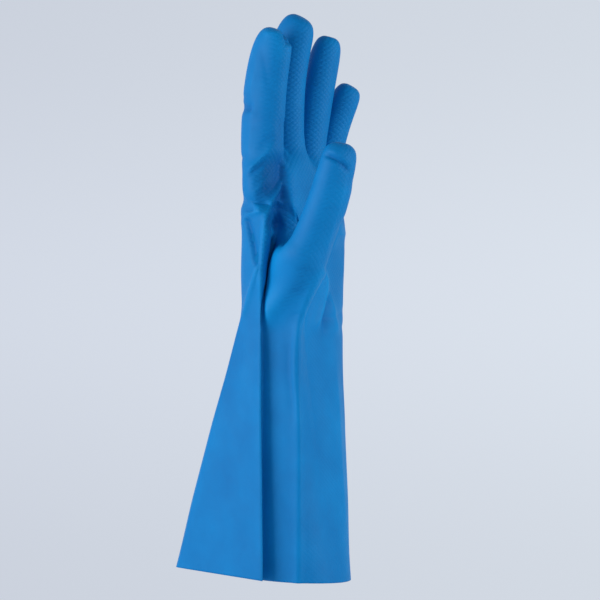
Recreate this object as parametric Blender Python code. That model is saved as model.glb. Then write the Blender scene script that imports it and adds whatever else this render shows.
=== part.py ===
"""Chemical-resistant glove for a left hand: one dipped rubber shell.

The palm faces -Y, the fingers point up and the thumb stands out towards -X and the palm's side.

The shell is one quad cage: rings up the cuff and palm, four fingers on the knuckle line and a thumb on the
side of the palm. A subdivision rounds it, and a Solidify gives the wall, open at the hem.
"""

import math
from collections import namedtuple

import bmesh
import bpy
from mathutils import Vector

# Driving sizes, in metres
CUFF_LENGTH = 0.150
CUFF_WIDTH = 0.100
PALM_LENGTH = 0.084
PALM_WIDTH = 0.092
PALM_DEPTH = 0.037
WEB_RISE = 0.010
FINGER_LENGTH = 0.094
FINGER_WIDTH = 0.0205
FINGER_DEPTH = 0.0195
THUMB_LENGTH = 0.090
THUMB_WIDTH = 0.0225
THUMB_DEPTH = 0.0215
WALL = 0.001

# Where the cage's columns cross the palm, as shares of half its width, from the thumb side
ACROSS = (-0.91, -0.78, -0.63, -0.456, -0.196, 0.065, 0.30, 0.54, 0.76, 0.91)
PALM_COLUMNS = len(ACROSS)
EDGE_ANGLES = (160.0, 180.0, 200.0)
COLUMNS = 2 * PALM_COLUMNS + 1 + len(EDGE_ANGLES)
ROUND_POWER = 2.2


def palm(i):
    """The ring column on the palm side at that place across the hand."""
    return i


def back(i):
    """The ring column on the back of the hand at that place across the hand."""
    return 2 * PALM_COLUMNS - i


# Columns that follow one line of the real glove's folds from the hem up past the wrist
FAR_EDGE = PALM_COLUMNS
PANEL = back(2)
CREST = back(1)
FOLD_EDGE = back(0)
FOLD_UNDER = FOLD_EDGE + 1
VALLEY = FOLD_EDGE + 2
THUMB_SIDE = FOLD_EDGE + 3
RIDGE = palm(0)
SLOPE = palm(1)
SHOULDER = palm(2)

# Sections up the palm: height is a share of PALM_LENGTH above the wrist, width of PALM_WIDTH and depth of
# PALM_DEPTH
PalmSection = namedtuple("PalmSection", "height width depth")
PALM_SECTIONS = (
    PalmSection(0.00, 0.90, 1.12),
    PalmSection(0.17, 0.915, 1.10),
    PalmSection(0.34, 0.94, 1.08),
    PalmSection(0.52, 0.97, 1.04),
    PalmSection(0.64, 0.985, 1.01),
    PalmSection(0.76, 0.98, 0.98),
    PalmSection(0.83, 0.96, 0.95),
    PalmSection(1.00, 0.95, 0.90),
)
THUMB_ROWS = (0, 3)

# The thumb side of the palm, where the folds and the thumb's root are. Each place is (across, forward), as
# shares of half of PALM_WIDTH and half of PALM_DEPTH. Above the last height the columns go back to the round
# section.
ThumbSide = namedtuple("ThumbSide", ("height", "panel", "crest", "fold_edge", "fold_under", "valley",
                                     "thumb_side", "ridge", "slope", "shoulder"))
THUMB_SIDE_SECTIONS = (
    ThumbSide(0.00, (-0.62, 0.92), (-0.80, 0.62), (-0.93, -0.14), (-0.82, -0.21),
              (-0.66, 0.00), (-0.77, -0.73), (-0.71, -1.49), (-0.605, -1.385), (-0.488, -1.234)),
    ThumbSide(0.34, (-0.80, 0.78), (-0.94, -0.24), (-0.936, -0.342), (-0.859, -0.334),
              (-0.83, -0.50), (-0.72, -0.80), (-0.60, -1.20), (-0.421, -1.427), (-0.29, -1.232)),
    ThumbSide(0.62, (-0.80, 0.74), (-0.90, -0.40), (-0.873, -0.476), (-0.804, -0.42),
              (-0.635, -0.43), (-0.63, -0.62), (-0.54, -0.80), (-0.41, -0.89), (-0.30, -0.97)),
    ThumbSide(0.76, (-0.80, 0.78), (-0.90, 0.00), (-0.90, -0.32), (-0.84, -0.43),
              (-0.72, -0.48), (-0.68, -0.55), (-0.64, -0.64), (-0.56, -0.76), (-0.46, -0.86)),
)
ROUND_AGAIN = 0.84
THUMB_SIDE_COLUMNS = (PANEL, CREST, FOLD_EDGE, FOLD_UNDER, VALLEY, THUMB_SIDE, RIDGE, SLOPE, SHOULDER)

# The hem's outline, with a long fold of spare cuff that stands out behind the hand. Across, forward and rise
# are shares of CUFF_WIDTH.
HemPoint = namedtuple("HemPoint", "column across forward rise")
HEM = (
    HemPoint(RIDGE, -0.319, -0.260, 0.010),
    HemPoint(palm(2), -0.177, -0.345, 0.000),
    HemPoint(palm(4), -0.007, -0.365, -0.010),
    HemPoint(palm(6), 0.146, -0.315, -0.012),
    HemPoint(palm(8), 0.248, -0.190, -0.010),
    HemPoint(FAR_EDGE, 0.252, 0.006, 0.000),
    HemPoint(back(8), 0.200, 0.177, 0.010),
    HemPoint(back(5), 0.044, 0.373, 0.020),
    HemPoint(back(3), -0.110, 0.497, 0.030),
    HemPoint(CREST, -0.320, 0.631, 0.041),
    HemPoint(FOLD_EDGE, -0.453, -0.068, 0.020),
    HemPoint(FOLD_UNDER, -0.406, -0.065, 0.020),
    HemPoint(VALLEY, -0.345, -0.060, 0.015),
    HemPoint(THUMB_SIDE, -0.337, -0.163, 0.010),
)
CUFF_ROWS = 7

# How sharp each fold line is, from the hem up to a row of the palm
Crease = namedtuple("Crease", "column top_row sharpness")
CREASES = (
    Crease(CREST, 3, 0.9),
    Crease(FOLD_EDGE, 3, 0.6),
    Crease(VALLEY, 0, 0.7),
    Crease(RIDGE, 0, 0.6),
)

# Digits: length, width and depth are shares of the finger's or thumb's sizes. Lean is towards the palm and
# splay towards the little finger, in degrees, at the digit's root and at its tip, and bend says how late it
# changes.
Digit = namedtuple("Digit", "name length width depth lean_root lean_tip splay_root splay_tip bend")
FINGERS = (
    Digit("index", 0.885, 0.92, 1.40, 0.0, 24.0, -1.0, 2.0, 2.2),
    Digit("middle", 0.995, 1.00, 1.36, -4.0, 31.0, 1.0, 2.0, 2.2),
    Digit("ring", 0.89, 0.96, 1.00, 6.0, 16.0, 2.0, 4.0, 1.5),
    Digit("little", 0.615, 0.87, 0.96, 6.0, 31.0, 3.0, 7.0, 1.2),
)
THUMB = Digit("thumb", 1.0, 1.0, 1.0, 37.0, 14.0, -4.0, 0.0, 1.0)

# The palm columns between which the fingers stand, each web's rise as a share of WEB_RISE, and the middle of
# the thumb's root as shares of half of PALM_WIDTH, half of PALM_DEPTH and all of PALM_LENGTH
FINGER_BOUNDS = (0, 3, 5, 7, 9)
WEB_SHARES = (3.7, 2.7, 1.8)
THUMB_ROOT_SHARES = (-0.675, -1.05, 0.22)

# Rings along a digit: place and size are shares of its length and width
Ring = namedtuple("Ring", "place size")
FINGER_RINGS = (
    Ring(0.17, 1.02),
    Ring(0.38, 1.01),
    Ring(0.60, 0.99),
    Ring(0.80, 0.95),
    Ring(0.92, 0.84),
    Ring(0.975, 0.62),
    Ring(1.00, 0.30),
)
THUMB_RINGS = (
    Ring(0.20, 1.20),
    Ring(0.33, 1.08),
    Ring(0.46, 1.04),
    Ring(0.64, 1.00),
    Ring(0.81, 0.96),
    Ring(0.93, 0.87),
    Ring(0.98, 0.64),
    Ring(1.00, 0.30),
)
THUMB_START_ANGLE = 225.0
LEAN_STEPS = 100


def between(table, height):
    """The two rows of a table of heights that a height falls between, and its share of the way."""
    for low, high in zip(table, table[1:]):
        if height <= high.height:
            return low, high, (height - low.height) / (high.height - low.height)
    return table[-1], table[-1], 0.0


def closed_spline(marks, count):
    """A point for each of count columns, on the closed Catmull-Rom curve through the marks."""
    points = [None] * count
    total = len(marks)
    for i, start in enumerate(marks):
        before, end, after = (marks[(i + k) % total] for k in (-1, 1, 2))
        p0, p1, p2, p3 = (Vector((m.across, m.forward, m.rise)) for m in (before, start, end, after))
        steps = (end.column - start.column) % count
        for step in range(steps):
            t = step / steps
            linear = (p2 - p0) * t
            square = (2 * p0 - 5 * p1 + 4 * p2 - p3) * t**2
            cube = (3 * p1 - p0 - 3 * p2 + p3) * t**3
            points[(start.column + step) % count] = (2 * p1 + linear + square + cube) / 2
    return points


def round_share(share):
    """Half the depth of a rounded section at that share of its half width."""
    return (1 - abs(share) ** ROUND_POWER) ** (1 / ROUND_POWER)


def round_ring(section):
    """The points of a plain rounded section of the palm."""
    half_width = section.width * PALM_WIDTH / 2
    half_depth = section.depth * PALM_DEPTH / 2
    z = CUFF_LENGTH + section.height * PALM_LENGTH
    ring = [None] * COLUMNS
    for i, share in enumerate(ACROSS):
        bulge = half_depth * round_share(share)
        ring[palm(i)] = Vector((share * half_width, -bulge, z))
        ring[back(i)] = Vector((share * half_width, bulge, z))
    ring[FAR_EDGE] = Vector((half_width, 0, z))
    for k, degrees in enumerate(EDGE_ANGLES):
        angle = math.radians(degrees)
        ring[FOLD_UNDER + k] = Vector((half_width * math.cos(angle), half_depth * math.sin(angle), z))
    return ring


def palm_ring(section):
    """A section of the palm with the fold, the valley and the ball of the thumb on its thumb side."""
    ring = round_ring(section)
    low, high, share = between(THUMB_SIDE_SECTIONS, section.height)
    past_table = section.height - THUMB_SIDE_SECTIONS[-1].height
    rounding = min(1.0, max(0.0, past_table / (ROUND_AGAIN - THUMB_SIDE_SECTIONS[-1].height)))
    for column, below, above in zip(THUMB_SIDE_COLUMNS, low[1:], high[1:]):
        across, forward = (a + (b - a) * share for a, b in zip(below, above))
        folded = Vector((across * PALM_WIDTH / 2, forward * PALM_DEPTH / 2, ring[column].z))
        ring[column] = folded.lerp(ring[column], rounding)
    return ring


def cuff_rings():
    """Rings from the hem up to just under the wrist, ruled between the hem's outline and the wrist."""
    hem = [point * CUFF_WIDTH for point in closed_spline(HEM, COLUMNS)]
    wrist = palm_ring(PALM_SECTIONS[0])
    return [[low.lerp(high, row / CUFF_ROWS) for low, high in zip(hem, wrist)] for row in range(CUFF_ROWS)]


def digit_rings(root, digit, sizes, table, start_angle, corners):
    """Rings round a digit's curved axis, one for each row, wide enough that rounding leaves the size."""
    length = sizes[0] * digit.length
    half_width = sizes[1] * digit.width / 2
    half_depth = sizes[2] * digit.depth / 2
    shrink = (2 + math.cos(2 * math.pi / corners)) / 3
    centre = Vector(root)
    steps_done = 0
    rings = []
    for row in table:
        while steps_done < row.place * LEAN_STEPS:
            change = ((steps_done + 0.5) / LEAN_STEPS) ** digit.bend
            lean = math.radians(digit.lean_root + (digit.lean_tip - digit.lean_root) * change)
            splay = math.radians(digit.splay_root + (digit.splay_tip - digit.splay_root) * change)
            axis = Vector((math.tan(splay), -math.sin(lean), math.cos(lean))).normalized()
            centre = centre + axis * length / LEAN_STEPS
            steps_done += 1
        side = (Vector((1, 0, 0)) - axis * axis.x).normalized()
        rear = axis.cross(side)
        points = []
        for k in range(corners):
            angle = math.radians(start_angle + 360 * k / corners)
            reach = side * (math.cos(angle) * half_width) + rear * (math.sin(angle) * half_depth)
            points.append(centre + reach * row.size / shrink)
        rings.append(points)
    return rings


def skin(mesh, lower, upper):
    """Quads between two rings of vertices in the same order."""
    count = len(lower)
    for k in range(count):
        after = (k + 1) % count
        mesh.faces.new((lower[k], lower[after], upper[after], upper[k]))


def add_digit(mesh, root_loop, rings):
    """Skins a digit from its root loop through its rings and closes its tip."""
    below = root_loop
    for ring in rings:
        above = [mesh.verts.new(point) for point in ring]
        skin(mesh, below, above)
        below = above
    mesh.faces.new(below)


def thumb_opening(rows):
    """The loop of palm vertices round the thumb's root, from its lower back corner."""
    low, high = THUMB_ROWS
    across = (VALLEY, THUMB_SIDE, RIDGE, SLOPE)
    loop = [rows[low][column] for column in across]
    loop += [rows[row][across[-1]] for row in range(low + 1, high + 1)]
    loop += [rows[high][column] for column in reversed(across[:-1])]
    loop += [rows[row][across[0]] for row in range(high - 1, low, -1)]
    return loop


def add_body(mesh):
    """The cuff and the palm, with a hole for the thumb. Returns all rows of vertices, from the hem up."""
    rows = [[mesh.verts.new(point) for point in ring] for ring in cuff_rings()]
    rows += [[mesh.verts.new(point) for point in palm_ring(section)] for section in PALM_SECTIONS]
    hole_rows = range(CUFF_ROWS + THUMB_ROWS[0], CUFF_ROWS + THUMB_ROWS[1])
    hole_columns = (VALLEY, THUMB_SIDE, RIDGE)
    for row in range(len(rows) - 1):
        for column in range(COLUMNS):
            if row in hole_rows and column in hole_columns:
                continue
            after = (column + 1) % COLUMNS
            mesh.faces.new((rows[row][column], rows[row][after], rows[row + 1][after], rows[row + 1][column]))
    for loose in [vertex for vertex in mesh.verts if not vertex.link_faces]:
        mesh.verts.remove(loose)
    return rows


def add_fingers(mesh, knuckles):
    """Four fingers on the palm's top ring, with a web between each two."""
    webs = []
    for bound, rise in zip(FINGER_BOUNDS[1:-1], WEB_SHARES):
        front, rear = knuckles[palm(bound)].co, knuckles[back(bound)].co
        webs.append(mesh.verts.new((front + rear) / 2 + Vector((0, 0, rise * WEB_RISE))))
    near_edge = [knuckles[column] for column in (FOLD_UNDER, VALLEY, THUMB_SIDE)]
    sizes = (FINGER_LENGTH, FINGER_WIDTH, FINGER_DEPTH)
    for i, digit in enumerate(FINGERS):
        first, last = FINGER_BOUNDS[i], FINGER_BOUNDS[i + 1]
        loop = [knuckles[palm(column)] for column in range(first, last + 1)]
        loop.append(webs[i] if i < len(webs) else knuckles[FAR_EDGE])
        loop += [knuckles[back(column)] for column in range(last, first - 1, -1)]
        loop += [webs[i - 1]] if i else near_edge
        ends = [knuckles[side(column)].co for side in (palm, back) for column in (first, last)]
        root = sum(ends, Vector()) / len(ends)
        start_angle = -90 - 180 * (last - first) / len(loop)
        rings = digit_rings(root, digit, sizes, FINGER_RINGS, start_angle, len(loop))
        add_digit(mesh, loop, rings)


def add_thumb(mesh, palm_rows):
    """The thumb, on the hole that add_body left."""
    loop = thumb_opening(palm_rows)
    across, forward, height = THUMB_ROOT_SHARES
    root = (across * PALM_WIDTH / 2, forward * PALM_DEPTH / 2, CUFF_LENGTH + height * PALM_LENGTH)
    sizes = (THUMB_LENGTH, THUMB_WIDTH, THUMB_DEPTH)
    rings = digit_rings(root, THUMB, sizes, THUMB_RINGS, THUMB_START_ANGLE, len(loop))
    add_digit(mesh, loop, rings)


def sharpen(mesh, rows):
    """Marks the fold lines as creases, from the hem up."""
    layer = mesh.edges.layers.float.new("crease_edge")
    for crease in CREASES:
        line = [row[crease.column] for row in rows[:CUFF_ROWS + crease.top_row + 1]]
        for low, high in zip(line, line[1:]):
            mesh.edges.get((low, high))[layer] = crease.sharpness


def rubber():
    """Matt blue nitrile."""
    material = bpy.data.materials.new("blue_nitrile")
    material.use_nodes = True
    shader = material.node_tree.nodes["Principled BSDF"]
    shader.inputs["Base Color"].default_value = (0.012, 0.19, 0.53, 1.0)
    shader.inputs["Roughness"].default_value = 0.5
    shader.inputs["Metallic"].default_value = 0.0
    return material


def make_shell():
    """The glove as one hollow solid."""
    mesh = bmesh.new()
    rows = add_body(mesh)
    add_fingers(mesh, rows[-1])
    add_thumb(mesh, rows[CUFF_ROWS:])
    sharpen(mesh, rows)
    data = bpy.data.meshes.new("glove_shell")
    mesh.to_mesh(data)
    mesh.free()
    data.materials.append(rubber())
    shell = bpy.data.objects.new("glove_shell", data)
    bpy.context.scene.collection.objects.link(shell)
    rounding = shell.modifiers.new("rounding", "SUBSURF")
    rounding.levels = 1
    rounding.render_levels = 1
    wall = shell.modifiers.new("wall", "SOLIDIFY")
    wall.thickness = WALL
    wall.offset = -1.0
    data.shade_smooth()
    return shell


def main():
    for obj in list(bpy.data.objects):
        bpy.data.objects.remove(obj)
    make_shell()


main()
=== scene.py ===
"""Looks of the chemical-resistant glove: a fine nitrile skin with the photograph's folds.

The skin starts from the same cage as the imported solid, with twice the rows. It is subdivided, and each fold
then raises or sinks it along a path. Paths of FRONT_FOLDS are in the photograph's pixels and are seen from
the camera.
"""

import math
from collections import namedtuple

import bmesh
import bpy
import numpy as np
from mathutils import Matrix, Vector


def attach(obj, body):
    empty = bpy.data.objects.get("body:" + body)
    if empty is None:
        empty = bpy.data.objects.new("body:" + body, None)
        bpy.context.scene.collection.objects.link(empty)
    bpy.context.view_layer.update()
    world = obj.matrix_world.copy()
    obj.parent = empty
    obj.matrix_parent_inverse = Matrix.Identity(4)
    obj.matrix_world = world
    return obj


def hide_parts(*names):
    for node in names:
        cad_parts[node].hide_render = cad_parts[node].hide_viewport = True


# Driving sizes, in metres, as in the solid
CUFF_LENGTH = 0.150
CUFF_WIDTH = 0.100
PALM_LENGTH = 0.084
PALM_WIDTH = 0.092
PALM_DEPTH = 0.037
WEB_RISE = 0.010
FINGER_LENGTH = 0.094
FINGER_WIDTH = 0.0205
FINGER_DEPTH = 0.0195
THUMB_LENGTH = 0.090
THUMB_WIDTH = 0.0225
THUMB_DEPTH = 0.0215
SKIN = 0.0006

# The photograph's side in pixels, and its camera. VIEW_WIDTH is how much it sees across at the glove's axis,
# and VIEW_SHIFT how far to the right of the axis it aims, in metres.
PHOTO_SIZE = 600
CAMERA_AZIMUTH = math.radians(-55.0)
CAMERA_DISTANCE = 1.300
CAMERA_HEIGHT = 0.1615
VIEW_WIDTH = 0.351
VIEW_SHIFT = 0.0041
TO_CAMERA = Vector((math.sin(CAMERA_AZIMUTH), -math.cos(CAMERA_AZIMUTH), 0))
VIEW_RIGHT = Vector((math.cos(CAMERA_AZIMUTH), math.sin(CAMERA_AZIMUTH), 0))
LOOK_AT = VIEW_RIGHT * VIEW_SHIFT + Vector((0, 0, CAMERA_HEIGHT))
CAMERA_PLACE = LOOK_AT + TO_CAMERA * CAMERA_DISTANCE

# Where the cage's columns cross the palm, as shares of half its width, from the thumb side. Three more go
# round the edge there at angles in degrees, and ROUND_POWER says how square a plain section is.
ACROSS = (-0.91, -0.78, -0.63, -0.456, -0.196, 0.065, 0.30, 0.54, 0.76, 0.91)
PALM_COLUMNS = len(ACROSS)
EDGE_ANGLES = (160.0, 180.0, 200.0)
COLUMNS = 2 * PALM_COLUMNS + 1 + len(EDGE_ANGLES)
ROUND_POWER = 2.2


def palm(i):
    """The ring column on the palm side at that place across the hand."""
    return i


def back(i):
    """The ring column on the back of the hand at that place across the hand."""
    return 2 * PALM_COLUMNS - i


# Columns that follow one line of the real glove's folds from the hem up past the wrist
FAR_EDGE = PALM_COLUMNS
PANEL = back(2)
CREST = back(1)
FOLD_EDGE = back(0)
FOLD_UNDER = FOLD_EDGE + 1
VALLEY = FOLD_EDGE + 2
THUMB_SIDE = FOLD_EDGE + 3
RIDGE = palm(0)
SLOPE = palm(1)
SHOULDER = palm(2)

# Sections up the palm: height is a share of PALM_LENGTH above the wrist, width of PALM_WIDTH and depth of
# PALM_DEPTH
PalmSection = namedtuple("PalmSection", "height width depth")
PALM_SECTIONS = (
    PalmSection(0.00, 0.90, 1.12),
    PalmSection(0.17, 0.915, 1.10),
    PalmSection(0.34, 0.94, 1.08),
    PalmSection(0.55, 0.975, 1.03),
    PalmSection(0.64, 0.985, 1.01),
    PalmSection(0.76, 0.98, 0.98),
    PalmSection(0.83, 0.96, 0.95),
    PalmSection(1.00, 0.95, 0.90),
)

# The palm's rows between which the thumb's hole is
THUMB_ROWS = (0, 3)

# The thumb side of the palm, where the folds and the thumb's root are. Each place is (across, forward), as
# shares of half of PALM_WIDTH and half of PALM_DEPTH. Above the last height the columns go back to the round
# section, which they reach at ROUND_AGAIN.
ThumbSide = namedtuple("ThumbSide", ("height", "panel", "crest", "fold_edge", "fold_under", "valley",
                                     "thumb_side", "ridge", "slope", "shoulder"))
THUMB_SIDE_SECTIONS = (
    ThumbSide(0.00, (-0.62, 0.92), (-0.80, 0.62), (-0.884, -0.348), (-0.828, -0.170),
              (-0.782, -0.240), (-0.745, -0.710), (-0.71, -1.49), (-0.605, -1.385), (-0.488, -1.234)),
    ThumbSide(0.34, (-0.80, 0.78), (-0.934, -0.267), (-0.911, -0.396), (-0.841, -0.362),
              (-0.577, -0.024), (-0.72, -0.80), (-0.60, -1.20), (-0.421, -1.427), (-0.29, -1.232)),
    ThumbSide(0.62, (-0.80, 0.74), (-0.891, -0.417), (-0.863, -0.519), (-0.775, -0.454),
              (-0.463, -0.146), (-0.541, -0.53), (-0.483, -0.735), (-0.41, -0.89), (-0.30, -0.97)),
    ThumbSide(0.76, (-0.80, 0.78), (-0.90, 0.00), (-0.90, -0.32), (-0.84, -0.43),
              (-0.705, -0.43), (-0.645, -0.485), (-0.595, -0.59), (-0.54, -0.735), (-0.46, -0.86)),
)
ROUND_AGAIN = 0.84
THUMB_SIDE_COLUMNS = (PANEL, CREST, FOLD_EDGE, FOLD_UNDER, VALLEY, THUMB_SIDE, RIDGE, SLOPE, SHOULDER)

# The hem's outline, with a long fold of spare cuff that stands out behind the hand. Across, forward and rise
# are shares of CUFF_WIDTH.
HemPoint = namedtuple("HemPoint", "column across forward rise")
HEM = (
    HemPoint(RIDGE, -0.319, -0.260, 0.010),
    HemPoint(palm(2), -0.177, -0.345, 0.000),
    HemPoint(palm(4), -0.007, -0.365, -0.010),
    HemPoint(palm(6), 0.146, -0.315, -0.012),
    HemPoint(palm(8), 0.248, -0.190, -0.010),
    HemPoint(FAR_EDGE, 0.252, 0.006, 0.000),
    HemPoint(back(8), 0.200, 0.177, 0.010),
    HemPoint(back(5), 0.044, 0.373, 0.020),
    HemPoint(back(3), -0.110, 0.497, 0.030),
    HemPoint(CREST, -0.320, 0.631, 0.041),
    HemPoint(FOLD_EDGE, -0.429, -0.102, 0.020),
    HemPoint(FOLD_UNDER, -0.405, -0.049, 0.020),
    HemPoint(VALLEY, -0.354, -0.011, 0.015),
    HemPoint(THUMB_SIDE, -0.342, -0.131, 0.010),
)

# The rows of the solid's cage from the hem to the wrist
CUFF_ROWS = 7

# How sharp each fold line is, from the hem up to a row of the palm
Crease = namedtuple("Crease", "column top_row sharpness")
CREASES = (
    Crease(CREST, 3, 0.50),
    Crease(FOLD_EDGE, 3, 0.40),
    Crease(VALLEY, 0, 0.40),
    Crease(RIDGE, 0, 0.34),
)

# Digits: length, width and depth are shares of the finger's or thumb's sizes. Lean is towards the palm and
# splay towards the little finger, in degrees, at the digit's root and at its tip, and bend says how late it
# changes.
Digit = namedtuple("Digit", "name length width depth lean_root lean_tip splay_root splay_tip bend")
FINGERS = (
    Digit("index", 0.885, 0.92, 1.40, 0.0, 24.0, -1.0, 2.0, 2.2),
    Digit("middle", 0.995, 1.00, 1.36, -4.0, 31.0, 1.0, 2.0, 2.2),
    Digit("ring", 0.89, 0.96, 1.00, 6.0, 16.0, 2.0, 4.0, 1.5),
    Digit("little", 0.615, 0.87, 0.96, 6.0, 31.0, 3.0, 7.0, 1.2),
)
THUMB = Digit("thumb", 1.0, 1.0, 1.0, 37.0, 14.0, -4.0, 0.0, 1.0)

# The palm columns between which the fingers stand, each web's rise as a share of WEB_RISE, and the middle of
# the thumb's root as shares of half of PALM_WIDTH, half of PALM_DEPTH and all of PALM_LENGTH
FINGER_BOUNDS = (0, 3, 5, 7, 9)
WEB_SHARES = (3.7, 2.7, 1.8)
THUMB_ROOT_SHARES = (-0.675, -1.05, 0.22)

# Rings along a digit: place and size are shares of its length and width
Ring = namedtuple("Ring", "place size")
FINGER_RINGS = (
    Ring(0.17, 1.02),
    Ring(0.38, 1.01),
    Ring(0.60, 0.99),
    Ring(0.80, 0.95),
    Ring(0.92, 0.84),
    Ring(0.975, 0.62),
    Ring(1.00, 0.30),
)
THUMB_RINGS = (
    Ring(0.20, 1.20),
    Ring(0.33, 1.08),
    Ring(0.46, 1.04),
    Ring(0.64, 1.00),
    Ring(0.81, 0.96),
    Ring(0.93, 0.87),
    Ring(0.98, 0.64),
    Ring(1.00, 0.30),
)

# Where a finger's front is and where the thumb's rings start, in degrees, the steps along a digit's curved
# axis, and how many times the cage is subdivided for the outer and for the inner face
FRONT_ANGLE = -90.0
THUMB_START_ANGLE = 225.0
LEAN_STEPS = 100
SKIN_LEVELS = 3
INSIDE_LEVELS = 2

# The heights between which the thumb's side of the hand gets finer, how long an edge has to be for that, and
# how many cuts it gets
FINE_HEIGHTS = (0.140, 0.222)
FINE_EDGE = 0.0015
FINE_CUTS = 2

# The glove's parts, as the cage's faces carry them
PARTS = ("body", "index", "middle", "ring", "little", "thumb")

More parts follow.
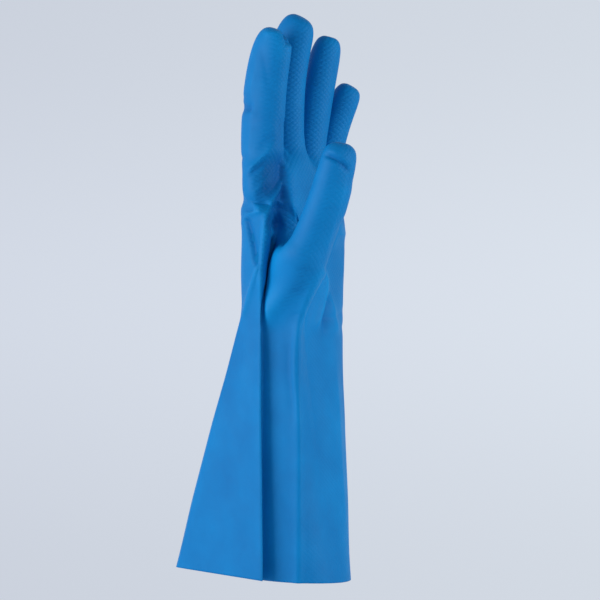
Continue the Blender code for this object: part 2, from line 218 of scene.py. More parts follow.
# Folds that the photograph shows. Height is in millimetres, outwards where positive. Left and right are how
# far the fold reaches on each side of its path, in millimetres, as seen where the path runs down the view.
# Taper is the share of its length over which it fades at each end. The path is in the photograph's pixels, x
# and y by turns.
Fold = namedtuple("Fold", "parts height left right taper path")
FRONT_FOLDS = (
    # Index finger: the pinched tip, the notch on its back and the creases towards the knuckle
    Fold("index", -2.6, 2.0, 2.0, 0.3, (285, 27, 287, 36, 291, 47)),
    Fold("index", 0.7, 2.5, 1.5, 0.3, (262, 33, 272, 33, 282, 33)),
    Fold("index", -0.5, 2.5, 4.0, 0.4, (259, 36, 263, 60, 267, 80, 270, 96)),
    Fold("index", 0.5, 2.0, 2.0, 0.4, (256, 62, 252, 82, 248, 100)),
    Fold("index", -1.9, 2.6, 3.0, 0.35, (238, 107, 245, 108, 254, 110)),
    Fold("index", 0.5, 2.4, 1.2, 0.4, (243, 113, 250, 113, 257, 117)),
    Fold("index", 0.5, 1.2, 3.0, 0.3, (252, 122, 249, 138, 247, 156)),
    Fold("index body", 1.3, 1.6, 1.6, 0.3, (276, 144, 268, 152, 256, 163, 244, 174)),
    Fold("index body", -1.3, 1.0, 1.8, 0.3, (269, 157, 257, 167, 245, 177)),
    Fold("index body", 0.6, 1.4, 2.0, 0.3, (274, 172, 264, 182, 252, 195)),
    Fold("index", -0.6, 2.5, 3.0, 0.4, (277, 128, 266, 141, 254, 152)),
    Fold("index body", -1.2, 3.0, 3.0, 0.3, (281, 112, 281, 136, 283, 156)),
    # Hand below the index finger: the hollow beside the palm, the palm's edge and the forked ridge
    Fold("index middle body", -4.4, 9.0, 2.6, 0.3, (286, 146, 285, 165, 284, 180, 285, 195, 283, 216)),
    Fold("index body", -0.8, 6.0, 4.0, 0.45, (272, 146, 269, 168, 266, 186, 263, 200)),
    Fold("index middle body", 2.0, 0.9, 9.0, 0.25, (288, 146, 288, 183, 291, 204, 297, 224)),
    Fold("body", 3.4, 1.8, 1.3, 0.3, (288, 174, 282, 187, 277, 195, 270, 204, 266, 213, 264, 228)),
    Fold("body", 0.9, 1.2, 1.2, 0.3, (265, 213, 259, 212, 252, 213, 243, 215)),
    Fold("body", -0.8, 1.2, 1.2, 0.3, (256, 209, 250, 210, 243, 210)),
    Fold("body", 1.4, 2.6, 2.6, 0.3, (274, 199, 266, 205, 258, 209, 252, 212)),
    Fold("body", -0.8, 3.0, 4.0, 0.4, (273, 184, 263, 192, 253, 196)),
    Fold("body", -2.6, 3.5, 5.0, 0.3, (279, 201, 277, 216, 275, 234)),
    # Slit between the fold's lobe and the ball of the thumb, and the lines on the lobe
    Fold("body", 1.2, 1.3, 2.2, 0.15, (266, 211, 264, 226, 262, 243, 259, 262, 255, 275, 249, 295,
                                       242, 323)),
    Fold("body", -1.8, 1.2, 2.6, 0.1, (245, 217, 251, 236, 254, 252, 257, 268)),
    Fold("body", 0.7, 3.0, 0.9, 0.15, (243, 216, 248, 236, 251, 252, 254, 268)),
    Fold("body", 2.4, 1.8, 1.2, 0.25, (269, 209, 267, 228, 266, 245, 264, 262, 262, 280, 261, 304)),
    Fold("body thumb", -3.2, 1.6, 1.4, 0.2, (275, 234, 271, 248, 268, 262, 266, 280, 264, 298)),
    Fold("body thumb", 2.6, 3.0, 5.0, 0.25, (295, 236, 287, 242, 280, 250, 276, 259, 273, 270, 271, 282,
                                             270, 295, 269, 315, 269, 335)),
    # Thumb: the crease under its tip, its edge and the faint lines on its ball
    Fold("thumb", 0.5, 2.2, 1.6, 0.3, (323, 149, 335, 153, 344, 159, 353, 167)),
    Fold("thumb", -1.9, 1.0, 2.4, 0.25, (322, 154, 334, 159, 342, 165, 351, 174)),
    Fold("thumb", 1.0, 4.0, 4.0, 0.3, (350, 178, 346, 200, 342, 228)),
    Fold("thumb", 0.5, 2.4, 1.2, 0.2, (347, 174, 341, 197, 336, 217, 329, 241, 324, 256)),
    Fold("thumb", -0.35, 1.4, 1.0, 0.4, (294, 269, 304, 270, 314, 272)),
    Fold("thumb", -0.35, 1.6, 1.2, 0.4, (289, 289, 300, 291, 311, 292)),
    Fold("thumb body", -0.30, 1.4, 1.2, 0.4, (291, 313, 298, 314, 304, 312)),
    # Heel of the hand: a broad ridge and two narrow ones that spread from under the thumb
    Fold("body thumb", 1.2, 2.6, 2.2, 0.05, (321, 263, 317, 277, 310, 291, 304, 307, 299, 325, 296, 345,
                                             295, 370, 297, 400, 299, 430, 299, 480, 298, 600)),
    Fold("body", -0.7, 2.0, 1.6, 0.3, (293, 326, 290, 350, 290, 376, 293, 402, 294, 430)),
    Fold("body thumb", 2.8, 2.2, 1.8, 0.25, (321, 262, 324, 280, 323, 297, 320, 312, 315, 334)),
    Fold("body thumb", 1.2, 4.0, 4.0, 0.3, (320, 272, 316, 294, 311, 316, 305, 342)),
    Fold("body", -2.0, 2.4, 2.6, 0.3, (329, 286, 327, 306, 325, 323, 322, 342)),
    Fold("body", 1.6, 2.0, 1.6, 0.3, (327, 283, 331, 300, 335, 318, 339, 338)),
    Fold("body", 1.2, 2.0, 3.0, 0.3, (341, 215, 336, 236, 329, 254)),
    Fold("body", 0.8, 3.0, 3.0, 0.4, (336, 234, 348, 233)),
    Fold("body", -0.8, 3.0, 3.0, 0.4, (334, 328, 346, 326)),
    # Cuff: the line down its edge, its soft waves and two scuffs
    Fold("body", 0.4, 0.9, 1.5, 0.1, (260, 326, 259, 420, 260, 500, 262, 590)),
    Fold("body", 0.5, 3.0, 3.5, 0.3, (248, 318, 246, 345, 241, 380, 235, 410)),
    Fold("body", 0.5, 4.0, 2.0, 0.3, (325, 386, 328, 408, 333, 430, 335, 462)),
    Fold("body", 1.1, 8.0, 8.0, 0.35, (343, 345, 345, 400, 346, 450, 347, 500, 349, 565)),
    Fold("body", 0.8, 8.0, 8.0, 0.35, (228, 365, 206, 440, 192, 500, 179, 560)),
    Fold("body", 0.18, 1.2, 1.2, 0.4, (212, 495, 214, 502, 214, 510)),
    Fold("body", 0.16, 1.4, 1.4, 0.4, (229, 534, 238, 540, 248, 546)),
)

# Folds on the sides that the photograph doesn't show. Azimuth is where they are seen from, in degrees, and
# the path is in millimetres, across that view and up from the hem.
SideFold = namedtuple("SideFold", "azimuth parts height left right taper path")
SIDE_FOLDS = (
    # Palm: the creases at the wrist, the heel and across the middle of the palm
    SideFold(0, "body", -0.8, 2.0, 3.0, 0.3, (-12, 154, 6, 151, 24, 153, 40, 158)),
    SideFold(0, "body", 0.6, 3.0, 2.5, 0.3, (-6, 146, 12, 144, 32, 147)),
    SideFold(0, "body", -0.7, 2.5, 3.0, 0.3, (2, 188, 10, 204, 24, 214, 42, 216)),
    SideFold(0, "body", -0.6, 2.5, 2.5, 0.3, (-6, 222, 8, 219, 24, 224, 34, 232)),
    SideFold(0, "body", 0.7, 5.0, 5.0, 0.4, (26, 168, 30, 184, 34, 202)),
    SideFold(0, "body", 0.6, 3.0, 5.0, 0.3, (14, 136, 11, 100, 8, 60, 9, 20)),
    SideFold(0, "body", -0.5, 4.0, 4.0, 0.3, (22, 130, 20, 96, 16, 64)),
    # Little finger's side: slack at the wrist and long waves down the cuff
    SideFold(90, "body", -0.9, 2.5, 3.5, 0.3, (-12, 157, 0, 152, 14, 155)),
    SideFold(90, "body", 0.7, 3.0, 3.0, 0.3, (-10, 147, 2, 143, 16, 148)),
    SideFold(90, "body", 0.8, 4.0, 6.0, 0.3, (0, 138, 4, 98, 12, 52, 18, 12)),
    SideFold(90, "body", -0.7, 5.0, 5.0, 0.3, (-12, 132, -10, 90, -8, 44)),
    # Back of the hand: the wrist, the knuckles and the long fall of the spare cuff
    SideFold(180, "body", -0.8, 2.0, 3.0, 0.3, (-34, 156, -14, 152, 8, 154, 24, 160)),
    SideFold(180, "body", 0.7, 2.5, 3.0, 0.3, (-26, 145, -6, 142, 16, 146)),
    SideFold(180, "body", 0.7, 5.0, 6.0, 0.4, (2, 138, 6, 96, 12, 50, 16, 8)),
    SideFold(180, "body", -0.8, 6.0, 5.0, 0.4, (-12, 134, -8, 92, -2, 44, 2, 6)),
    SideFold(180, "index body", -0.5, 1.5, 2.0, 0.3, (24, 246, 34, 243, 44, 246)),
    SideFold(180, "middle body", -0.5, 1.5, 2.0, 0.3, (0, 256, 9, 253, 18, 256)),
    SideFold(180, "ring body", -0.5, 1.5, 2.0, 0.3, (-24, 252, -15, 249, -6, 252)),
    SideFold(180, "little body", -0.5, 1.5, 2.0, 0.3, (-44, 243, -35, 240, -27, 243)),
    SideFold(180, "index", -0.4, 1.4, 1.8, 0.3, (26, 280, 35, 278, 43, 280)),
    SideFold(180, "middle", -0.4, 1.4, 1.8, 0.3, (1, 290, 8, 288, 16, 290)),
    SideFold(180, "ring", -0.4, 1.4, 1.8, 0.3, (-25, 283, -18, 281, -10, 283)),
    SideFold(180, "little", -0.4, 1.4, 1.8, 0.3, (-46, 264, -40, 262, -33, 264)),
)

# How a fold falls off beside its path, how many of its widths it reaches, the steps between two points of
# its path, and how far the surface faces the view where a fold starts and where it is whole
PROFILE_POWER = 1.5
PROFILE_REACH = 3.0
CURVE_STEPS = 8
FRONT_FACING = (-0.6, 0.0)
SIDE_FACING = (0.0, 0.5)
MM_PER_METRE = 1000

# The moulded grip: the size of a diamond, how steep its grooves are, how far the surface faces the palm's
# side where it starts and where it is whole, the heights between which it comes in, and its share on the
# cuff
DIAMOND_WIDTH = 0.0029
DIAMOND_HEIGHT = 0.0029
GROOVE_POWER = 0.5
GRIP_SIDE = (0.05, 0.45)
GRIP_HEIGHT = (0.150, 0.168)
CUFF_GRIP = 0.30

# The rubber's looks. Its colour goes from dark to light, and each millimetre of fold height moves it a set
# share of the way.
# Raised folds get paler, partly because stretched rubber whitens and partly as painted highlight. Sunken
# folds get darker as painted shade.
# Mottling is how much of the way the uneven dip makes. Depths are in metres.
Look = namedtuple("Look", ("dark", "light", "relief_tone", "mottling", "roughness", "ior", "diamond_depth",
                           "grain_depth", "ripple_depth"))
OUTSIDE = Look(
    dark=(0.0, 0.118, 0.370, 1),
    light=(0.0, 0.255, 0.625, 1),
    relief_tone=0.14,
    mottling=0.7,
    roughness=(0.45, 0.60),
    ior=1.22,
    diamond_depth=0.00019,
    grain_depth=0.00002,
    ripple_depth=0.00012,
)
INSIDE = Look(
    dark=(0.0, 0.100, 0.300, 1),
    light=(0.0, 0.215, 0.520, 1),
    relief_tone=0.10,
    mottling=0.7,
    roughness=(0.60, 0.75),
    ior=1.15,
    diamond_depth=0.0,
    grain_depth=0.00003,
    ripple_depth=0.0,
)
MIDDLE_TONE = 0.5

# The rubber's noise textures, whose output is 0.5 on average
Noise = namedtuple("Noise", "label scale detail roughness")
UNEVEN_DIP = Noise("Uneven dip", 38.0, 4.0, 0.55)
HANDLING = Noise("Handling", 90.0, 5.0, 0.6)
FINE_GRAIN = Noise("Fine grain", 1400.0, 3.0, 0.6)
SOFT_DENTS = Noise("Soft dents", 150.0, 3.0, 0.5)
NOISE_MIDDLE = 0.5

# The studio's soft square lights: places and sizes in metres, power in watts
Light = namedtuple("Light", "name right near height size power")
LIGHTS = (
    Light("left_softbox", -1.15, 0.45, 0.35, 0.8, 10.0),
    Light("right_softbox", 1.10, 0.40, 0.35, 0.6, 8.0),
    Light("front_fill", 0.30, 1.40, 0.50, 0.6, 1.5),
)

# The pale backdrop: its colours on the left and right, and how far round it goes from one to the other
BACKDROP_LEFT = (0.652, 0.700, 0.790, 1)
BACKDROP_RIGHT = (0.703, 0.757, 0.838, 1)
BACKDROP_SPREAD = 0.13

# As light, the backdrop weakens to a share of its strength overhead and on its dim side, which is to the
# camera's near right. Where the camera sees it, it weakens a little above and below the middle.
CEILING_START = 0.20
CEILING_SHARE = 0.30
DIM_NEAR = 0.5
DIM_RIGHT = 0.85
DIM_SIDE = (DIM_NEAR * TO_CAMERA + DIM_RIGHT * VIEW_RIGHT).normalized()
DIM_START = -0.20
DIM_END = 0.50
DIM_SHARE = 0.50
VIGNETTE_REACH = 0.14
VIGNETTE_SHARE = 0.92

# The pale floor, a disc
FLOOR_COLOUR = (0.70, 0.74, 0.80, 1)
FLOOR_ROUGHNESS = 0.9
FLOOR_RADIUS = 0.8
FLOOR_HEIGHT = -0.20
FLOOR_SEGMENTS = 96


def between(table, height):
    """The two rows of a table of heights that a height falls between, and its share of the way."""
    for low, high in zip(table, table[1:]):
        if height <= high.height:
            return low, high, (height - low.height) / (high.height - low.height)
    return table[-1], table[-1], 0.0


def catmull_rom(points, t):
    """The place at share t between the middle two of four points."""
    p0, p1, p2, p3 = points
    linear = (p2 - p0) * t
    square = (2 * p0 - 5 * p1 + 4 * p2 - p3) * t**2
    cube = (3 * p1 - p0 - 3 * p2 + p3) * t**3
    return (2 * p1 + linear + square + cube) / 2


def closed_spline(marks, count):
    """A point for each of count columns, on the closed Catmull-Rom curve through the marks."""
    points = [None] * count
    total = len(marks)
    for i, start in enumerate(marks):
        four = [marks[(i + k) % total] for k in (-1, 0, 1, 2)]
        corners = [Vector((mark.across, mark.forward, mark.rise)) for mark in four]
        steps = (four[2].column - start.column) % count
        for step in range(steps):
            points[(start.column + step) % count] = catmull_rom(corners, step / steps)
    return points


def round_share(share):
    """How deep a rounded section is at that share of its half width, as a share of its half depth."""
    return (1 - abs(share) ** ROUND_POWER) ** (1 / ROUND_POWER)


def round_ring(section):
    """The points of a plain rounded section of the palm."""
    half_width = section.width * PALM_WIDTH / 2
    half_depth = section.depth * PALM_DEPTH / 2
    z = CUFF_LENGTH + section.height * PALM_LENGTH
    ring = [None] * COLUMNS
    for i, share in enumerate(ACROSS):
        bulge = half_depth * round_share(share)
        ring[palm(i)] = Vector((share * half_width, -bulge, z))
        ring[back(i)] = Vector((share * half_width, bulge, z))
    ring[FAR_EDGE] = Vector((half_width, 0, z))
    for k, degrees in enumerate(EDGE_ANGLES):
        angle = math.radians(degrees)
        ring[FOLD_UNDER + k] = Vector((half_width * math.cos(angle), half_depth * math.sin(angle), z))
    return ring


def palm_ring(section):
    """A section of the palm with the fold, the valley and the ball of the thumb on its thumb side."""
    ring = round_ring(section)
    low, high, share = between(THUMB_SIDE_SECTIONS, section.height)
    past_table = section.height - THUMB_SIDE_SECTIONS[-1].height
    rounding = min(1.0, max(0.0, past_table / (ROUND_AGAIN - THUMB_SIDE_SECTIONS[-1].height)))
    for column, below, above in zip(THUMB_SIDE_COLUMNS, low[1:], high[1:]):
        across, forward = (a + (b - a) * share for a, b in zip(below, above))
        folded = Vector((across * PALM_WIDTH / 2, forward * PALM_DEPTH / 2, ring[column].z))
        ring[column] = folded.lerp(ring[column], rounding)
    return ring


def cuff_rings():
    """Rings from the hem up to just under the wrist, ruled between the hem's outline and the wrist."""
    hem = [point * CUFF_WIDTH for point in closed_spline(HEM, COLUMNS)]
    wrist = palm_ring(PALM_SECTIONS[0])
    return [[low.lerp(high, row / CUFF_ROWS) for low, high in zip(hem, wrist)] for row in range(CUFF_ROWS)]


def finer_row(row):
    """The row of the finer cage at that row of the solid's cage."""
    return 2 * row


def with_rings_between(rings):
    """The rings with one more between each two, on smooth curves up the columns."""
    last = len(rings) - 1
    finer = [rings[0]]
    for i in range(last):
        four = [rings[max(0, min(last, i + k))] for k in (-1, 0, 1, 2)]
        finer.append([catmull_rom(column, 0.5) for column in zip(*four)])
        finer.append(rings[i + 1])
    return finer


def digit_rings(root, digit, sizes, table, start_angle, corners):
    """Rings round a digit's curved axis, one for each row, wide enough that rounding leaves the size."""
    length = sizes[0] * digit.length
    half_width = sizes[1] * digit.width / 2
    half_depth = sizes[2] * digit.depth / 2
    shrink = (2 + math.cos(2 * math.pi / corners)) / 3
    centre = Vector(root)
    steps_done = 0
    rings = []
    for row in table:
        while steps_done < row.place * LEAN_STEPS:
            change = ((steps_done + 0.5) / LEAN_STEPS) ** digit.bend
            lean = math.radians(digit.lean_root + (digit.lean_tip - digit.lean_root) * change)
            splay = math.radians(digit.splay_root + (digit.splay_tip - digit.splay_root) * change)
            axis = Vector((math.tan(splay), -math.sin(lean), math.cos(lean))).normalized()
            centre = centre + axis * length / LEAN_STEPS
            steps_done += 1
        side = (Vector((1, 0, 0)) - axis * axis.x).normalized()
        rear = axis.cross(side)
        points = []
        for k in range(corners):
            angle = math.radians(start_angle + 360 * k / corners)
            reach = side * (math.cos(angle) * half_width) + rear * (math.sin(angle) * half_depth)
            points.append(centre + reach * row.size / shrink)
        rings.append(points)
    return rings


def skin_between(mesh, lower, upper, part):
    """Quads between two rings of vertices in the same order, marked with the glove's part."""
    count = len(lower)
    for k in range(count):
        after = (k + 1) % count
        face = mesh.faces.new((lower[k], lower[after], upper[after], upper[k]))
        face.material_index = PARTS.index(part)


def add_digit(mesh, root_loop, rings, part):
    """Skins a digit from its root loop through its rings and closes its tip."""
    finer = with_rings_between([[vertex.co.copy() for vertex in root_loop]] + rings)
    below = root_loop
    for ring in finer[1:]:
        above = [mesh.verts.new(point) for point in ring]
        skin_between(mesh, below, above, part)
        below = above
    mesh.faces.new(below).material_index = PARTS.index(part)


def add_body(mesh):
    """The cuff and the palm, with a hole for the thumb. Returns all rows of vertices, from the hem up."""
    rings = with_rings_between(cuff_rings() + [palm_ring(section) for section in PALM_SECTIONS])
    rows = [[mesh.verts.new(point) for point in ring] for ring in rings]
    hole_rows = range(*(finer_row(CUFF_ROWS + row) for row in THUMB_ROWS))
    hole_columns = (VALLEY, THUMB_SIDE, RIDGE)
    for row, (low, high) in enumerate(zip(rows, rows[1:])):
        for column in range(COLUMNS):
            if row in hole_rows and column in hole_columns:
                continue
            after = (column + 1) % COLUMNS
            mesh.faces.new((low[column], low[after], high[after], high[column]))
    for loose in [vertex for vertex in mesh.verts if not vertex.link_faces]:
        mesh.verts.remove(loose)
    return rows


def add_fingers(mesh, knuckles):
    """Four fingers on the palm's top ring, with a web between each two."""
    webs = []
    for bound, rise in zip(FINGER_BOUNDS[1:-1], WEB_SHARES):
        front, rear = knuckles[palm(bound)].co, knuckles[back(bound)].co
        webs.append(mesh.verts.new((front + rear) / 2 + Vector((0, 0, rise * WEB_RISE))))
    near_edge = [knuckles[column] for column in (FOLD_UNDER, VALLEY, THUMB_SIDE)]
    sizes = (FINGER_LENGTH, FINGER_WIDTH, FINGER_DEPTH)
    for i, digit in enumerate(FINGERS):
        first, last = FINGER_BOUNDS[i], FINGER_BOUNDS[i + 1]
        loop = [knuckles[palm(column)] for column in range(first, last + 1)]
        loop.append(webs[i] if i < len(webs) else knuckles[FAR_EDGE])
        loop += [knuckles[back(column)] for column in range(last, first - 1, -1)]
        loop += [webs[i - 1]] if i else near_edge
        ends = [knuckles[side(column)].co for side in (palm, back) for column in (first, last)]
        root = sum(ends, Vector()) / len(ends)
        half_front = 180 * (last - first) / len(loop)
        rings = digit_rings(root, digit, sizes, FINGER_RINGS, FRONT_ANGLE - half_front, len(loop))
        add_digit(mesh, loop, rings, digit.name)


def add_thumb(mesh, rows):
    """The thumb, on the hole that add_body left."""
    low, high = (finer_row(CUFF_ROWS + row) for row in THUMB_ROWS)
    across = (VALLEY, THUMB_SIDE, RIDGE, SLOPE)
    loop = [rows[low][column] for column in across]
    loop += [rows[row][across[-1]] for row in range(low + 1, high + 1)]
    loop += [rows[high][column] for column in reversed(across[:-1])]
    loop += [rows[row][across[0]] for row in range(high - 1, low, -1)]
    share, forward, height = THUMB_ROOT_SHARES
    root = (share * PALM_WIDTH / 2, forward * PALM_DEPTH / 2, CUFF_LENGTH + height * PALM_LENGTH)
    sizes = (THUMB_LENGTH, THUMB_WIDTH, THUMB_DEPTH)
    rings = digit_rings(root, THUMB, sizes, THUMB_RINGS, THUMB_START_ANGLE, len(loop))
    add_digit(mesh, loop, rings, THUMB.name)


def sharpen(mesh, rows):
    """Marks the fold lines as creases, from the hem up."""
    layer = mesh.edges.layers.float.new("crease_edge")
    for crease in CREASES:
        line = [row[crease.column] for row in rows[:finer_row(CUFF_ROWS + crease.top_row) + 1]]
        for low, high in zip(line, line[1:]):
            mesh.edges.get((low, high))[layer] = crease.sharpness


def new_object(name, data):
    """An object in the scene."""
    made = bpy.data.objects.new(name, data)
    bpy.context.scene.collection.objects.link(made)
    return made


def make_cage():
    """The control cage as an object of its own."""
    mesh = bmesh.new()
    rows = add_body(mesh)
    add_fingers(mesh, rows[-1])
    add_thumb(mesh, rows)
    sharpen(mesh, rows)
    data = bpy.data.meshes.new("cage")
    mesh.to_mesh(data)
    mesh.free()
    for _ in PARTS:
        data.materials.append(None)
    return new_object("cage", data)


def subdivided(cage, levels):
    """A smooth mesh from the cage."""
    modifier = cage.modifiers.new("rounding", "SUBSURF")
    modifier.levels = levels
    modifier.render_levels = levels
    evaluated = cage.evaluated_get(bpy.context.evaluated_depsgraph_get())
    data = bpy.data.meshes.new_from_object(evaluated)
    cage.modifiers.remove(modifier)
    return data


def split_long_edges(data):
    """Splits long edges on the thumb's side of the hand, so that the narrow folds there come out sharp."""
    mesh = bmesh.new()
    mesh.from_mesh(data)
    low, high = FINE_HEIGHTS
    split = []
    for edge in mesh.edges:
        middle = (edge.verts[0].co + edge.verts[1].co) / 2
        if low < middle.z < high and middle.dot(TO_CAMERA) > 0 and edge.calc_length() > FINE_EDGE:
            split.append(edge)
    bmesh.ops.subdivide_edges(mesh, edges=split, cuts=FINE_CUTS, use_grid_fill=True)
    mesh.to_mesh(data)
    mesh.free()


def places(data):
    """A mesh's vertices as an array of rows."""
    flat = np.empty(3 * len(data.vertices))
    data.vertices.foreach_get("co", flat)
    return flat.reshape(-1, 3)


def normals(data):
    """A mesh's vertex normals as an array of rows."""
    flat = np.empty(3 * len(data.vertices))
    data.vertex_normals.foreach_get("vector", flat)
    return flat.reshape(-1, 3)


def part_masks(data):
    """For each part of the glove, which vertices belong to it."""
    masks = {name: np.zeros(len(data.vertices), bool) for name in PARTS}
    for polygon in data.polygons:
        masks[PARTS[polygon.material_index]][list(polygon.vertices)] = True
    return masks


def smooth_step(low, high, value):
    """0 below low, 1 above high and a smooth rise between."""
    share = np.clip((value - low) / (high - low), 0, 1)
    return share * share * (3 - 2 * share)


def curve_through(path):
    """A finely stepped curve through the path's points."""
    points = np.array(path, float).reshape(-1, 2)
    ends = np.vstack((2 * points[0] - points[1], points, 2 * points[-1] - points[-2]))
    fine = []
    for i in range(len(points) - 1):
        fine += [catmull_rom(ends[i:i + 4], step / CURVE_STEPS) for step in range(CURVE_STEPS)]
    return np.array(fine + [points[-1]])


def in_parts(fold, masks):
    """Which vertices belong to the parts that a fold is on."""
    return np.any([masks[name] for name in fold.parts.split()], axis=0)


def fold_share(flat, fold, unit):
    """How much of a fold's height each point of a flat view gets, where unit is a millimetre in the view."""
    line = curve_through(fold.path)
    reach = PROFILE_REACH * max(fold.left, fold.right) * unit
    near = np.all((flat > line.min(0) - reach) & (flat < line.max(0) + reach), axis=1)
    share = np.zeros(len(flat))
    if not near.any():
        return share
    points = flat[near]
    steps = np.diff(line, axis=0)
    lengths = np.hypot(steps[:, 0], steps[:, 1])
    before = np.concatenate(([0], np.cumsum(lengths)))
    offset = points[:, None] - line[None, :-1]
    along = np.clip((offset * steps).sum(2) / lengths**2, 0, 1)
    gap = offset - along[..., None] * steps
    distance = np.hypot(gap[..., 0], gap[..., 1])
    best = distance.argmin(1)
    rows = np.arange(len(points))
    travelled = (before[best] + along[rows, best] * lengths[best]) / before[-1]
    turn = steps[best, 0] * offset[rows, best, 1] - steps[best, 1] * offset[rows, best, 0]
    width = np.where(turn > 0, fold.left, fold.right) * unit
    profile = np.exp(-(distance[rows, best] / width) ** PROFILE_POWER)
    fade = smooth_step(0, fold.taper, travelled) * smooth_step(0, fold.taper, 1 - travelled)
    share[near] = profile * fade
    return share


def photo_places(co):
    """Where points are in the photograph, in its pixels."""
    offset = co - np.array(CAMERA_PLACE)
    depth = -(offset @ np.array(TO_CAMERA))
    scale = PHOTO_SIZE / VIEW_WIDTH * CAMERA_DISTANCE / depth
    across = (offset @ np.array(VIEW_RIGHT)) * scale
    return np.stack((PHOTO_SIZE / 2 + across, PHOTO_SIZE / 2 - offset[:, 2] * scale), axis=1)


def folded(data):
    """Raises and sinks a mesh along every fold, and returns each vertex's height in millimetres."""
    co = places(data)
    normal = normals(data)
    masks = part_masks(data)
    height = np.zeros(len(co))
    photo = photo_places(co)
    facing = smooth_step(*FRONT_FACING, normal @ np.array(TO_CAMERA))
    pixels_per_mm = PHOTO_SIZE / VIEW_WIDTH / MM_PER_METRE
    for fold in FRONT_FOLDS:
        height += in_parts(fold, masks) * facing * fold.height * fold_share(photo, fold, pixels_per_mm)
    for fold in SIDE_FOLDS:
        angle = math.radians(fold.azimuth)
        facing = smooth_step(*SIDE_FACING, normal @ np.array((math.sin(angle), -math.cos(angle), 0)))
        across = co[:, 0] * math.cos(angle) + co[:, 1] * math.sin(angle)
        flat = MM_PER_METRE * np.stack((across, co[:, 2]), axis=1)
        height += in_parts(fold, masks) * facing * fold.height * fold_share(flat, fold, 1.0)
    co += normal * height[:, None] / MM_PER_METRE
    data.vertices.foreach_set("co", co.ravel())
    data.update()
    return height


def add_hem(data):
    """Turns the hem's edge inwards by the skin's thickness."""
    mesh = bmesh.new()
    mesh.from_mesh(data)
    mesh.normal_update()
    rim = [edge for edge in mesh.edges if edge.is_boundary]
    inner = {}
    for vertex in [vertex for vertex in mesh.verts if vertex.is_boundary]:
        inner[vertex] = mesh.verts.new(vertex.co - vertex.normal * SKIN)
    for edge in rim:
        loop = edge.link_loops[0]
        first, second = loop.vert, loop.link_loop_next.vert
        mesh.faces.new((second, first, inner[first], inner[second]))
    mesh.to_mesh(data)
    mesh.free()


def turned_inside(data):
    """Moves a mesh inwards by the skin's thickness and turns its faces round, to line the outer face."""
    co = places(data) - normals(data) * SKIN
    data.vertices.foreach_set("co", co.ravel())
    data.flip_normals()
    data.update()


def keep_number(data, name, values):
    """Stores one number for each vertex, for the material to read."""
    layer = data.attributes.new(name, "FLOAT", "POINT")
    layer.data.foreach_set("value", values.astype(np.float32))


def grip_share(data):
    """Where the moulded grip is: on all of the palm's side of the hand, and weaker on the cuff."""
    front = smooth_step(*GRIP_SIDE, -normals(data)[:, 1])
    above_wrist = smooth_step(*GRIP_HEIGHT, places(data)[:, 2])
    return front * (CUFF_GRIP + (1 - CUFF_GRIP) * above_wrist)


def finish_skin(data, name, material):
    """Gives a mesh its material and makes it a piece that stands for the solid."""
    data.name = name
    data.materials.clear()
    data.materials.append(material)
    data.polygons.foreach_set("material_index", [0] * len(data.polygons))
    data.shade_smooth()
    piece = new_object(name, data)
    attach(piece, "root")
    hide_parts("glove_shell")


def make_glove():
    """The outer skin with the hem's edge, and the inner face."""
    cage = make_cage()
    outer = subdivided(cage, SKIN_LEVELS)
    inner = subdivided(cage, INSIDE_LEVELS)
    bpy.data.objects.remove(cage)
    split_long_edges(outer)
    for data in (outer, inner):
        relief = folded(data)
        keep_number(data, "relief", relief)
        keep_number(data, "grip", grip_share(data))
    turned_inside(inner)
    add_hem(outer)
    finish_skin(outer, "glove_skin", nitrile("blue_nitrile", OUTSIDE))
    finish_skin(inner, "glove_inside", nitrile("blue_nitrile_inside", INSIDE))


def node(tree, kind, label, inputs=None, **settings):
    """A shader node with some of its settings and unlinked inputs."""
    made = tree.nodes.new(kind)
    made.label = label
    for name, value in settings.items():
        setattr(made, name, value)
    for name, value in (inputs or {}).items():
        made.inputs[name].default_value = value
    return made


def math_node(tree, operation, first, second=0.0):
    """A math node's output, from two values or outputs."""
    made = tree.nodes.new("ShaderNodeMath")
    made.operation = operation
    for socket, value in zip(made.inputs, (first, second)):
        if isinstance(value, (int, float)):
            socket.default_value = value
        else:
            tree.links.new(value, socket)
    return made.outputs[0]


def noise(tree, place, texture):
    """A noise texture's output at a place."""
    sizes = {"Scale": texture.scale, "Detail": texture.detail, "Roughness": texture.roughness}
    made = node(tree, "ShaderNodeTexNoise", texture.label, sizes)
    tree.links.new(place, made.inputs["Vector"])
    return made.outputs["Fac"]


def mapped(tree, label, value, source, target, curve="LINEAR"):
    """A value brought from one range into another."""
    ends = dict(zip(("From Min", "From Max", "To Min", "To Max"), source + target))
    made = node(tree, "ShaderNodeMapRange", label, ends, interpolation_type=curve)
    tree.links.new(value, made.inputs["Value"])
    return made.outputs["Result"]


def colour_between(tree, label, share, low, high):
    """The colour at a share of the way from one to another."""
    made = node(tree, "ShaderNodeValToRGB", label)
    made.color_ramp.elements[0].color = low
    made.color_ramp.elements[1].color = high
    tree.links.new(share, made.inputs["Fac"])
    return made.outputs["Color"]


def share_along(tree, label, direction, axis):
    """How far a direction points along an axis, from -1 to 1."""
    made = node(tree, "ShaderNodeVectorMath", label, {1: axis}, operation="DOT_PRODUCT")
    tree.links.new(direction, made.inputs[0])
    return made.outputs["Value"]


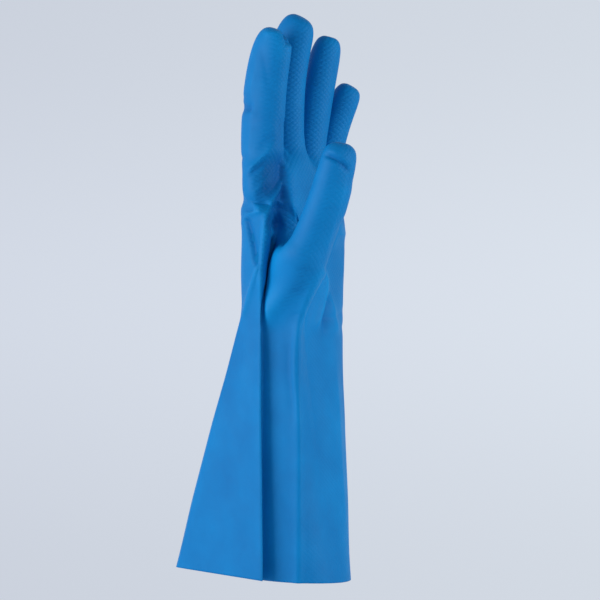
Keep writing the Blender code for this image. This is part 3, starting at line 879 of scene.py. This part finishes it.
def diamonds(tree, place):
    """The grip's height, from 0 between the diamonds to 1 on them: two sets of grooves that cross."""
    split = node(tree, "ShaderNodeSeparateXYZ", "Place")
    tree.links.new(place, split.inputs[0])
    across = math_node(tree, "MULTIPLY", split.outputs["X"], math.pi / DIAMOND_WIDTH)
    up = math_node(tree, "MULTIPLY", split.outputs["Z"], math.pi / DIAMOND_HEIGHT)
    waves = []
    for operation in ("ADD", "SUBTRACT"):
        slant = math_node(tree, operation, across, up)
        wave = math_node(tree, "ABSOLUTE", math_node(tree, "SINE", slant))
        waves.append(math_node(tree, "POWER", wave, GROOVE_POWER))
    return math_node(tree, "MULTIPLY", *waves)


def nitrile(name, look):
    """Matt nitrile rubber: soft mottling, a fine grain and the moulded diamonds. The colour pales where folds
    rise, partly from stretched rubber and partly as painted highlight, and darkens where they sink as painted
    shade.
    """
    material = bpy.data.materials.new(name)
    material.use_nodes = True
    tree = material.node_tree
    shader = tree.nodes["Principled BSDF"]
    shader.inputs["IOR"].default_value = look.ior
    place = node(tree, "ShaderNodeTexCoord", "Place on the glove").outputs["Object"]

    relief = node(tree, "ShaderNodeAttribute", "Fold height", attribute_name="relief").outputs["Fac"]
    # Painted shade and highlight: fold height darkens the colour in sunken folds and pales it where folds
    # rise, beyond the real whitening of stretched rubber
    fold_pale_and_shade = math_node(tree, "MULTIPLY", relief, look.relief_tone)
    uneven = math_node(tree, "SUBTRACT", noise(tree, place, UNEVEN_DIP), NOISE_MIDDLE)
    uneven = math_node(tree, "MULTIPLY", uneven, look.mottling)
    tone = math_node(tree, "ADD", math_node(tree, "ADD", fold_pale_and_shade, uneven), MIDDLE_TONE)
    colour = colour_between(tree, "Blue by tone", tone, look.dark, look.light)
    tree.links.new(colour, shader.inputs["Base Color"])

    roughness = mapped(tree, "Roughness", noise(tree, place, HANDLING), (0.0, 1.0), look.roughness)
    tree.links.new(roughness, shader.inputs["Roughness"])

    grip = node(tree, "ShaderNodeAttribute", "Grip share", attribute_name="grip").outputs["Fac"]
    pattern = math_node(tree, "MULTIPLY", diamonds(tree, place), grip)
    height = math_node(tree, "MULTIPLY", pattern, look.diamond_depth)
    for texture, depth in ((FINE_GRAIN, look.grain_depth), (SOFT_DENTS, look.ripple_depth)):
        dents = math_node(tree, "MULTIPLY", noise(tree, place, texture), depth)
        height = math_node(tree, "ADD", height, dents)
    bump = node(tree, "ShaderNodeBump", "Surface", {"Strength": 1.0, "Distance": 1.0})
    tree.links.new(height, bump.inputs["Height"])
    tree.links.new(bump.outputs["Normal"], shader.inputs["Normal"])
    return material


def plain_material(name, colour, roughness):
    """One even material, for the floor."""
    material = bpy.data.materials.new(name)
    material.use_nodes = True
    shader = material.node_tree.nodes["Principled BSDF"]
    shader.inputs["Base Color"].default_value = colour
    shader.inputs["Roughness"].default_value = roughness
    return material


def make_floor():
    """A plain pale disc under the glove."""
    mesh = bmesh.new()
    bmesh.ops.create_circle(mesh, cap_ends=True, segments=FLOOR_SEGMENTS, radius=FLOOR_RADIUS)
    data = bpy.data.meshes.new("floor")
    mesh.to_mesh(data)
    mesh.free()
    data.materials.append(plain_material("pale_floor", FLOOR_COLOUR, FLOOR_ROUGHNESS))
    floor = new_object("floor", data)
    floor.location.z = FLOOR_HEIGHT


def backdrop_strength(tree, direction):
    """How strong the backdrop is in a direction, where the camera sees it and as light."""
    split = node(tree, "ShaderNodeSeparateXYZ", "Upwards")
    tree.links.new(direction, split.inputs[0])
    up = split.outputs["Z"]
    ceiling = mapped(tree, "Dark ceiling", up, (CEILING_START, 1.0), (1.0, CEILING_SHARE))
    nearness = share_along(tree, "Nearness", direction, DIM_SIDE)
    dimming = mapped(tree, "Dim side", nearness, (DIM_START, DIM_END), (1.0, DIM_SHARE))
    lighting = math_node(tree, "MULTIPLY", ceiling, dimming)
    off_middle = math_node(tree, "ABSOLUTE", up)
    vignette = mapped(tree, "Vignette", off_middle, (0.0, VIGNETTE_REACH), (1.0, VIGNETTE_SHARE),
                      "SMOOTHSTEP")
    seen = node(tree, "ShaderNodeLightPath", "Seen directly").outputs["Is Camera Ray"]
    strength = node(tree, "ShaderNodeMix", "Seen or lighting")
    for name, value in (("Factor", seen), ("A", lighting), ("B", vignette)):
        tree.links.new(value, strength.inputs[name])
    return strength.outputs["Result"]


def make_world():
    """A pale backdrop all round, a little brighter to the right and at mid height."""
    world = bpy.data.worlds.new("studio")
    world.use_nodes = True
    tree = world.node_tree
    background = tree.nodes["Background"]
    direction = node(tree, "ShaderNodeTexCoord", "Direction").outputs["Generated"]
    sideways = share_along(tree, "Sideways", direction, VIEW_RIGHT)
    across = mapped(tree, "Across", sideways, (-BACKDROP_SPREAD, BACKDROP_SPREAD), (0.0, 1.0))
    colour = colour_between(tree, "Backdrop", across, BACKDROP_LEFT, BACKDROP_RIGHT)
    tree.links.new(colour, background.inputs["Color"])
    tree.links.new(backdrop_strength(tree, direction), background.inputs["Strength"])
    bpy.context.scene.world = world


def aim(piece, place, direction):
    """Puts a light or camera at a place and turns it to look in a direction."""
    piece.location = place
    piece.rotation_mode = "QUATERNION"
    piece.rotation_quaternion = direction.to_track_quat("-Z", "Y")


def make_lights():
    """Soft square lights round the glove, placed from the camera's side: to its right, towards it and up."""
    for light in LIGHTS:
        lamp = bpy.data.lights.new(light.name, "AREA")
        lamp.energy = light.power
        lamp.size = light.size
        place = VIEW_RIGHT * light.right + TO_CAMERA * light.near + Vector((0, 0, light.height))
        aim(new_object(light.name, lamp), place, Vector((0, 0, CAMERA_HEIGHT)) - place)


def make_camera():
    """The photograph's view: level, from the thumb's side of the palm."""
    camera = bpy.data.cameras.new("camera")
    camera.lens = camera.sensor_width * CAMERA_DISTANCE / VIEW_WIDTH
    piece = new_object("camera", camera)
    aim(piece, CAMERA_PLACE, -TO_CAMERA)
    bpy.context.scene.camera = piece


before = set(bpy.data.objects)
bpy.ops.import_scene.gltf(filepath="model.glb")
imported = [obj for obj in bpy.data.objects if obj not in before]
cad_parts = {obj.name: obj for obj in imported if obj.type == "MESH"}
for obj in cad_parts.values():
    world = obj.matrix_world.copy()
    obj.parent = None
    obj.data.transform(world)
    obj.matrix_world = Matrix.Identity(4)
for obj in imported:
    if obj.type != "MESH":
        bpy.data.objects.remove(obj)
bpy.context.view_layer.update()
bpy.context.scene.view_settings.view_transform = "Standard"
make_camera()
make_world()
make_lights()
make_floor()
make_glove()
